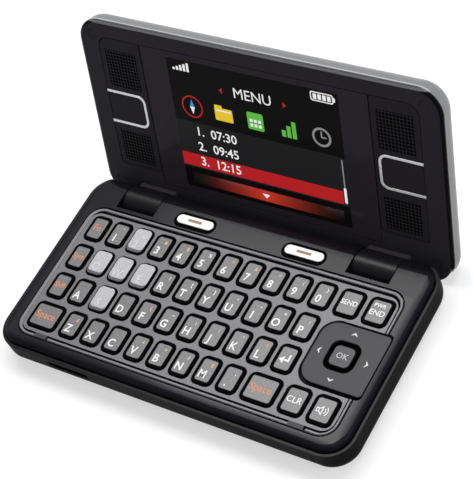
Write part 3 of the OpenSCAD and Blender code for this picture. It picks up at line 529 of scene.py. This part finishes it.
def navigationPad():
    look = padLook
    low, high = boxOf("dpad")
    okLow, okHigh = boxOf("ok_button")
    mid, ok = (low + high) / 2, (okLow + okHigh) / 2
    x, y = ok.x + look["shift"][0], ok.y + look["shift"][1]
    corners = (look["corner"], look["outer"], look["outer"], look["corner"])
    left, front, right, back = look["room"]
    bm = raised(ringFace((high.x - low.x - left - right, high.y - low.y - front - back, corners,
                          mid.x + (left - right) / 2, mid.y + (front - back) / 2),
                         (look["hole"], look["hole"], look["holeCorner"], x, y)),
                low.z, high.z - look["ink"], look["edge"])
    a = look["arrow"]
    for turn in range(4):
        chevron = bmesh.new()
        for way in (-1, 1):
            add(chevron, polygon((0, a * 0.62), (way * a, -a * 0.25), (way * a * 0.95, -a * 0.5), (0, 0)), 1)
        spin = Matrix.Rotation(math.radians(90 * turn), 4, "Z")
        middle = at(ok.x + look["arrowShift"][0], ok.y + look["arrowShift"][1], high.z)
        add(bm, chevron, 1, middle @ spin @ at(0, look["arrowAt"]))
    piece("navigation_pad", bm, "dpad", [padCharcoal, printWhite], ["dpad"])
    button = bmesh.new()
    corner = look["buttonCorner"]
    add(button, roundedBlock(look["button"], look["button"], corner, okLow.z, high.z - look["buttonDown"],
                             look["buttonEdge"]), 0)
    add(button, roundedBlock(look["face"], look["face"], look["faceCorner"], high.z - look["faceRise"],
                             high.z - look["ink"], look["faceEdgePaintedLight"]), 1)
    add(button, lettering("OK", look["word"], 0.0), 2, at(0, 0, high.z))
    foot, rise = look["foot"]
    add(button, roundedBlock(okHigh.x - okLow.x, okHigh.y - okLow.y, corner, okLow.z + foot,
                             okLow.z + rise), 0, at(ok.x - x, ok.y - y))
    bmesh.ops.translate(button, vec=(x, y, 0), verts=button.verts[:])
    piece("centre_button", button, "ok_button", [skirtBlack, padFace, printFaint],
          ["ok_button"])


navigationPad()

# white soft keys with an orange dash, each on a black body in a black surround, wider in front as painted
# shadow
softLook = dict(
    corner=1.3, bodyDown=0.2, cap=2.6, capCorner=1.25, capDown=0.12, capRise=0.45, edge=0.22,
    dash=(4.1, 0.75, 0.2), surround=(0.75, 0.66), surroundCorner=2.1, surroundDeep=0.1, surroundRise=0.04,
    surroundEdge=0.03, lower=0.28, inner=0.28, ink=0.012)


def softKeys():
    look = softLook
    deckTop = boxOf("base_top_housing")[1].z
    rings = bmesh.new()
    for node in ("soft_key_left", "soft_key_right"):
        low, high = boxOf(node)
        mid = (low + high) / 2
        width, depth = high.x - low.x, high.y - low.y
        bm = bmesh.new()
        body = roundedBlock(width, depth, look["corner"], low.z, high.z - look["bodyDown"], look["edge"])
        add(bm, body, 0)
        cap = roundedBlock(width, look["cap"], look["capCorner"], high.z - look["capRise"],
                           high.z - look["ink"], look["edge"])
        add(bm, cap, 1, at(0, -look["capDown"]))
        add(bm, roundedFace(*look["dash"]), 2, at(0, -look["capDown"], high.z))
        bmesh.ops.translate(bm, vec=(mid.x, mid.y, 0), verts=bm.verts[:])
        piece(node + "_cap", bm, node, [skirtBlack, softWhite, dashAmber], [node])
        (outX, outY), gap = look["surround"], look["inner"]
        # black ring round the key; its extra width in front of the key is painted shadow
        ring = ringFace((width + 2 * outX, depth + 2 * outY, look["surroundCorner"], mid.x,
                         mid.y - look["lower"]),
                        (width + 2 * gap, depth + 2 * gap, look["corner"] + gap, mid.x, mid.y))
        add(rings, raised(ring, deckTop - look["surroundDeep"], deckTop + look["surroundRise"],
                          look["surroundEdge"]), 0)
    piece("soft_key_surrounds", rings, "base", [skirtBlack])


softKeys()

# bead on the edge of the keyboard plate, broken at the pad and at two clips in front, with dark lines
# beside it that are painted shade: of the groove inside the bead and of the gap round the plate
# each outline is inset from the plate at the left, front, right and back, and has a corner radius
recessLook = dict(
    beadOut=(-0.2, 0.1, 0.04, 0.14, 3.9), beadIn=(0.75, 0.58, 0.48, 0.66, 3.4), beadRise=0.16, beadEdge=0.12,
    grooveOut=(0.6, 0.66, 0.56, 0.76, 3.3), grooveIn=(0.62, 1.2, 0.84, 1.55, 3.0), grooveRise=0.012,
    groovePause=((-47, -19.5), (-43.5, 12.5)), lineOut=(-0.26, -0.5, -0.55, -0.32, 4.5),
    lineIn=(-0.24, -0.24, -0.24, -0.24, 4.3), lineRise=0.015, clips=((-39.5, -35.2), (34.6, 39.3)),
    clip=(0.06, 1.2), clipRise=0.06, clipRoom=(1, 2), notch=0.6, padRoom=0.3, padPast=1, sunk=0.05)


def recessBead():
    look = recessLook
    low, high = boxOf("keypad_plate")
    padLow, padHigh = boxOf("dpad")
    deckTop = boxOf("base_top_housing")[1].z

    def outline(part):
        left, front, right, back, corner = look[part]
        x0, x1, y0, y1 = low.x + left, high.x - right, low.y + front, high.y - back
        return x1 - x0, y1 - y0, corner, (x0 + x1) / 2, (y0 + y1) / 2

    def belt(part, level, edge=0.0):
        ring = ringFace(outline(part + "Out"), outline(part + "In"))
        return raised(ring, level - look["sunk"], level + look[part + "Rise"], edge)

    room = look["padRoom"]
    padGap = ((padLow.x - room, padLow.y - room), (high.x + look["padPast"], padHigh.y + room))
    # flat dark ring inside the bead: painted shade of the groove, left out at the left side where it is lit
    groove = belt("groove", high.z)
    bead = belt("bead", high.z, look["beadEdge"])
    # thin dark ring on the deck just outside the plate: painted shade of the gap between plate and deck
    line = belt("line", deckTop)
    breakIn(groove, *look["groovePause"])
    whole = bmesh.new()
    near, far = low.y + look["clip"][0], low.y + look["clip"][1]
    before, behind = look["clipRoom"]
    for start, end in look["clips"]:
        for part in (groove, bead):
            breakIn(part, (start, low.y - before), (end, low.y + behind))
        # each clip is a dark grey block ending in a black notch; the notch's black is painted shade
        split = end - look["notch"]
        for finish, x0, x1 in ((2, start, split), (0, split, end)):
            block = raised(bar(x1 - x0, far - near), high.z - look["sunk"], high.z + look["clipRise"])
            add(whole, block, finish, at((x0 + x1) / 2, (near + far) / 2))
    for finish, part in ((0, groove), (1, bead), (0, line)):
        add(whole, breakIn(part, *padGap), finish)
    piece("recess_bead", whole, "base", [skirtBlack, beadGrey, clipGrey])


recessBead()
print("pad, soft keys and recess made")

# lid frame: x across, y up the face from the hinge axis, z out of the face, in millimetres
lidLook = dict(axis=(22.48, 4.4), face=5.0, opened=110.0)


def lidPlace():
    turn = math.radians(lidLook["opened"])
    up, out = Vector((0, -math.cos(turn), math.sin(turn))), Vector((0, -math.sin(turn), -math.cos(turn)))
    foot = (Vector((0, *lidLook["axis"])) - out * lidLook["face"]) * mm
    return Matrix.Translation(foot) @ Matrix((Vector((1, 0, 0)), up, out)).transposed().to_4x4()


onLid = lidPlace()

# loudspeaker grilles with a field of small holes above and below each trim
grilleLook = dict(middle=38.605, width=12.9, low=8.0, high=45.01, corner=3.2, small=0.8, seam=0.1, edge=0.14,
                  thick=0.78, pitch=0.92, hole=0.41, side=4.75, fields=((9.6, 18.6), (31.4, 41.8)))


# place on the lid's face, in millimetres across and up from the hinge axis
def faceSpot(where):
    x, y, z = where.parts()
    up, foot = onLid.to_3x3().col[1], onLid.translation
    return x * (1 / mm), ((y - foot.y) * up.y + (z - foot.z) * up.z) * (1 / mm)


def perforated(name, colour):
    mat, w, shader = newFinish(name)
    look = grilleLook
    where = w.make("ShaderNodeTexCoord", outlet="Object")
    across, along = faceSpot(where)
    across = across.size() - look["middle"]
    cellX = (across * (1 / look["pitch"]) + 100.5).fract() - 0.5
    cellY = (along * (1 / look["pitch"])).fract() - 0.5
    inside = across.size() < look["side"]
    fields = None
    for low, high in look["fields"]:
        field = (along > low) * (along < high)
        fields = field if fields is None else fields + field
    hole = (cellX * cellX + cellY * cellY < look["hole"] ** 2) * inside * fields
    fine = w.noise(where, 6000.0, 2.0)
    tone = (0.85 + fine * 0.3) * (1 - hole * 0.95)
    w.feed(shader.inputs["Base Color"], w.tinted(colour, tone))
    w.feed(shader.inputs["Roughness"], 0.45 + hole * 0.5)
    w.feed(shader.inputs["Normal"], w.make("ShaderNodeBump", None, {
        "Strength": 0.6, "Distance": 0.15 * mm, "Height": 1 - hole + fine * 0.03}))
    shader.inputs["Specular IOR Level"].default_value = 0.03
    return mat


def grilles():
    look = grilleLook
    whole = bmesh.new()
    for side in (-1, 1):
        small, large = look["small"], look["corner"]
        corners = (small, small, large, small) if side > 0 else (small, small, small, large)
        wide, tall = look["width"] - 2 * look["seam"], look["high"] - look["low"] - 2 * look["seam"]
        plate = roundedBlock(wide, tall, corners, -look["thick"], 0.0, look["edge"])
        add(whole, plate, 0, at(side * look["middle"], (look["low"] + look["high"]) / 2))
    piece("grille_plates", whole, "lid", [perforated("grilleBlack", (0.026, 0.0235, 0.027))],
          ["speaker_grilles"], onLid)


grilles()

# black edge round the display face, grey along its top as painted light where it faces the lamps,
# and a bright line behind it there as a painted highlight
rimLook = dict(
    width=101.61, low=-2.4, high=49.36, corner=6.5, tail=6.5, steps=24,
    line=(0.06, -0.3), lineDeep=(1.2, 0.8), lineStop=48.5,
    edge=(0.03, -0.72), edgeDeep=(0.4, 0.02), slope=0.4, edgeStop=2.2,
    fade=(48.55, 48.75), dip=49.2, tones=(0.003, 0.145, 0.08))


def faceEdgePaintedLight(name):
    mat, w, shader = newFinish(name)
    where = w.make("ShaderNodeTexCoord", outlet="Object")
    start, end = rimLook["fade"]
    dark, paintedLitTone, dim = rimLook["tones"]
    up = faceSpot(where)[1]
    paintedLitRise = (up - start) * (1 / (end - start))
    paintedLitRise = paintedLitRise.clamped()
    fine = w.noise(where, 3000.0, 2.0)
    # grey along the top and dimmer above the dip: painted light, not the edge's own colour
    tone = (dark + paintedLitRise * (paintedLitTone - dark) - (up > rimLook["dip"]) * (paintedLitTone - dim)) * (0.85 + fine * 0.3)
    w.feed(shader.inputs["Base Color"], w.tinted((1.0, 1.0, 1.04), tone))
    w.feed(shader.inputs["Roughness"], 0.3 + fine * 0.1)
    shader.inputs["Specular IOR Level"].default_value = 0.03
    return mat


def rimLines():
    look = rimLook
    mid, tall = (look["low"] + look["high"]) / 2, look["high"] - look["low"]

    def outline(grow, height=0.0):
        corners = [radius + grow for radius in (look["tail"], look["tail"], look["corner"], look["corner"])]
        return look["width"] + 2 * grow, tall + 2 * grow, tuple(corners), 0, mid, height

    whole = bmesh.new()
    for finish, part, slope in ((1, "line", 0.0), (0, "edge", look["slope"])):
        outer, inner = look[part]
        deep, near = look[part + "Deep"]
        belt = raised(ringFace(outline(outer, -slope), outline(inner), look["steps"]), -deep, -near)
        breakIn(belt, (-look["width"], look["low"] - 1), (look["width"], look[part + "Stop"]))
        add(whole, belt, finish)
    piece("rim_lines", whole, "lid", [faceEdgePaintedLight("faceEdgePaintedLight"), rimPaintedHighlight], (), onLid)


rimLines()

windowLook = dict(width=64.16, low=4.5, high=45.01, corner=0.4, seam=0.1, edge=0.16, thick=0.78)


def displayWindow():
    look = windowLook
    wide, tall = look["width"] - 2 * look["seam"], look["high"] - look["low"] - 2 * look["seam"]
    bm = roundedBlock(wide, tall, look["corner"], -look["thick"], 0.0, look["edge"])
    bmesh.ops.translate(bm, vec=(0, (look["low"] + look["high"]) / 2, 0), verts=bm.verts[:])
    piece("window_pane", bm, "lid", [windowBlack], ["display_window"], onLid)


displayWindow()

# what the display shows: a plain menu of signs and times
menuLook = dict(
    half=24.2, low=6.6, high=43.3, rise=0.012, step=0.004, status=41.5, title=37.1, signs=30.6,
    signAt=dict(compass=-18.5, folder=-9.2, calendar=0, chart=7.9, clock=18.5), listMid=19.4, listTall=13.6,
    times=("1.  07:30", "2.  09:45", "3.  12:15"), timeAt=(-12.6, 23.6), timeStep=4.35, timeSize=3.5,
    slider=23.3, footer=9.4, fadeOver=22.0)
menuTones = dict(
    black=(0.001, 0.001, 0.001), white=(0.8, 0.8, 0.8), red=(0.42, 0.012, 0.015), grey=(0.23, 0.23, 0.24),
    yellow=(0.75, 0.52, 0.03), green=(0.1, 0.45, 0.05), blue=(0.06, 0.25, 0.6), panel=(0.01, 0.01, 0.011))


# red bar that dies away to both sides
def fadeBar(name):
    mat, w, shader = newFinish(name)
    shader.inputs["Base Color"].default_value = (0.004, 0.004, 0.004, 1)
    where = w.make("ShaderNodeTexCoord", outlet="Object")
    away = where.parts()[0].size() * (1 / (menuLook["fadeOver"] * mm))
    level = w.maths("MAXIMUM", 1 - away, 0.02)
    w.feed(shader.inputs["Emission Color"], w.tinted((0.5, 0.03, 0.012), level * level))
    shader.inputs["Emission Strength"].default_value = 1.0
    shader.inputs["Roughness"].default_value = 0.2
    return mat


menuFinishes = {name: lit("lit" + name.capitalize(), tone) for name, tone in menuTones.items()}
menuFinishes["fade"] = fadeBar("litFade")


def menuPicture():
    look = menuLook
    order = list(menuFinishes)
    bm = bmesh.new()

    def show(part, tone, x, y, layer):
        add(bm, part, order.index(tone), at(x, y, look["rise"] + look["step"] * layer))

    wide = 2 * look["half"]
    show(bar(wide, look["high"] - look["low"]), "black", 0, (look["low"] + look["high"]) / 2, 0)
    # status row: rising bars at the left, battery at the right
    y = look["status"]
    for i in range(5):
        show(bar(0.7, 0.6 + 0.45 * i), "white", -22.2 + 1.05 * i, y - 0.9 + 0.225 * i, 1)
    show(roundedFace(6.2, 2.5, 0.6), "white", 19.8, y, 1)
    show(roundedFace(5.6, 1.9, 0.4), "black", 19.8, y, 2)
    show(bar(0.5, 1.1), "white", 23.1, y, 1)
    for i in range(4):
        show(bar(0.95, 1.4), "white", 17.9 + 1.28 * i, y, 3)
    y = look["title"]
    show(lettering("MENU", 4.0, 0.0), "white", 0, y + 0.1, 1)
    for way in (-1, 1):
        show(polygon((way * 1.0, 0), (0, 0.85), (0, -0.85)), "red", way * 8.6, y, 1)
    # signs: compass, folder, calendar, chart and clock
    y, x = look["signs"], look["signAt"]
    show(arc(2.7, 0.4, 0, 2 * math.pi, 32), "red", x["compass"], y, 1)
    show(polygon((0, 2.1), (0.7, 0), (-0.7, 0)), "blue", x["compass"], y, 1)
    show(polygon((0, -2.1), (-0.7, 0), (0.7, 0)), "white", x["compass"], y, 1)
    show(roundedFace(5.2, 3.6, 0.3), "yellow", x["folder"], y - 0.3, 1)
    show(roundedFace(2.2, 1.0, 0.2), "yellow", x["folder"] - 1.4, y + 1.7, 1)
    show(bar(4.4, 0.35), "white", x["folder"], y + 0.7, 2)
    show(roundedFace(4.6, 4.8, 0.5), "green", x["calendar"], y, 1)
    for i in range(3):
        for j in range(2):
            show(bar(0.8, 0.8), "white", x["calendar"] - 1.2 + 1.2 * i, y - 1.2 + 1.3 * j, 2)
    for i, tall in enumerate((1.8, 3.2, 4.6)):
        show(bar(1.15, tall), "green", x["chart"] + 1.5 * i, y - 2.3 + tall / 2, 1)
    show(disc(2.6), "grey", x["clock"], y, 1)
    show(disc(2.0), "black", x["clock"], y, 2)
    show(bar(0.4, 1.7), "grey", x["clock"], y + 0.7, 3)
    show(bar(1.4, 0.4), "grey", x["clock"] + 0.6, y, 3)
    # list of times, the last one marked
    show(bar(wide, look["listTall"]), "panel", 0, look["listMid"], 1)
    show(bar(wide - 1.6, 3.7), "red", -0.8, look["listMid"] - 4.5, 2)
    left, top = look["timeAt"]
    for i, words in enumerate(look["times"]):
        show(lettering(words, look["timeSize"], 0.012), "white", left, top - look["timeStep"] * i, 3)
    show(bar(0.35, 12.4), "grey", look["slider"], look["listMid"], 2)
    show(bar(0.7, 4.2), "white", look["slider"], look["listMid"] - 3.8, 3)
    show(bar(wide - 4, 3.2), "fade", 0, look["footer"], 1)
    show(polygon((-1.1, 0.5), (1.1, 0.5), (0, -0.7)), "white", 0, look["footer"], 2)
    finishes = list(menuFinishes.values())
    piece("display_picture", bm, "lid", finishes, (), onLid)


menuPicture()
print("lid dressed")


# one for rays that show the surround itself: seen, mirrored or passing through
def shownRays(w):
    kinds = ("Is Camera Ray", "Is Glossy Ray", "Is Transmission Ray")
    rays = [w.make("ShaderNodeLightPath", outlet=kind) for kind in kinds]
    return w.maths("MINIMUM", rays[0] + rays[1] + rays[2], 1.0)


lampLook = dict(aim=(0, 0, 0.015), surround=0.3, lamps=(
    ("overhead", (-0.05, 0.225, 0.5), (0.6, 0.23), 3.2), ("right", (0.6, 0.1, 0.35), (0.4, 0.4), 1.7),
    ("front", (-0.35, -0.75, 0.5), (0.5, 0.5), 0.3)))


# the floor lies just under the object, and far from it is as white as the surround
floorLook = dict(half=2.5, under=0.0001, tone=0.45, glow=0.55, near=0.2, far=0.55)


# pale floor, soft lamps and a white surround
def studio():
    world = bpy.data.worlds.new("studio")
    scene.world = world
    world.use_nodes = True
    w = Wire(world.node_tree)
    back = world.node_tree.nodes["Background"]
    back.inputs["Color"].default_value = (1, 1, 1, 1)
    w.feed(back.inputs["Strength"], lampLook["surround"] + shownRays(w) * (1 - lampLook["surround"]))

    bm = bmesh.new()
    look = floorLook
    bmesh.ops.create_grid(bm, x_segments=1, y_segments=1, size=look["half"])
    bmesh.ops.translate(bm, vec=(0, 0, -look["under"]), verts=bm.verts[:])
    mesh = bpy.data.meshes.new("floor")
    bm.to_mesh(mesh)
    bm.free()
    floor = bpy.data.objects.new("floor", mesh)
    scene.collection.objects.link(floor)
    mat = bpy.data.materials.new("paleFloor")
    mat.use_nodes = True
    w = Wire(mat.node_tree)
    shader = mat.node_tree.nodes["Principled BSDF"]
    shader.inputs["Base Color"].default_value = (look["tone"],) * 3 + (1,)
    shader.inputs["Roughness"].default_value = 0.9
    shader.inputs["Specular IOR Level"].default_value = 0.0
    where = w.make("ShaderNodeTexCoord", outlet="Object")
    away = w.make("ShaderNodeVectorMath", {"operation": "LENGTH"}, {0: where}, "Value")
    away = (away - look["near"]) * (1 / (look["far"] - look["near"]))
    w.feed(shader.inputs["Emission Color"], look["glow"] + away.clamped() * (1 - look["glow"]))
    w.feed(shader.inputs["Emission Strength"], shownRays(w))
    mesh.materials.append(mat)

    for name, place, size, power in lampLook["lamps"]:
        lamp = bpy.data.lights.new(name, "AREA")
        lamp.shape = "RECTANGLE"
        lamp.size, lamp.size_y = size
        lamp.energy = power
        holder = bpy.data.objects.new(name, lamp)
        scene.collection.objects.link(holder)
        holder.location = place
        aim = Vector(lampLook["aim"]) - Vector(place)
        holder.rotation_euler = aim.to_track_quat("-Z", "Y").to_euler()


studio()
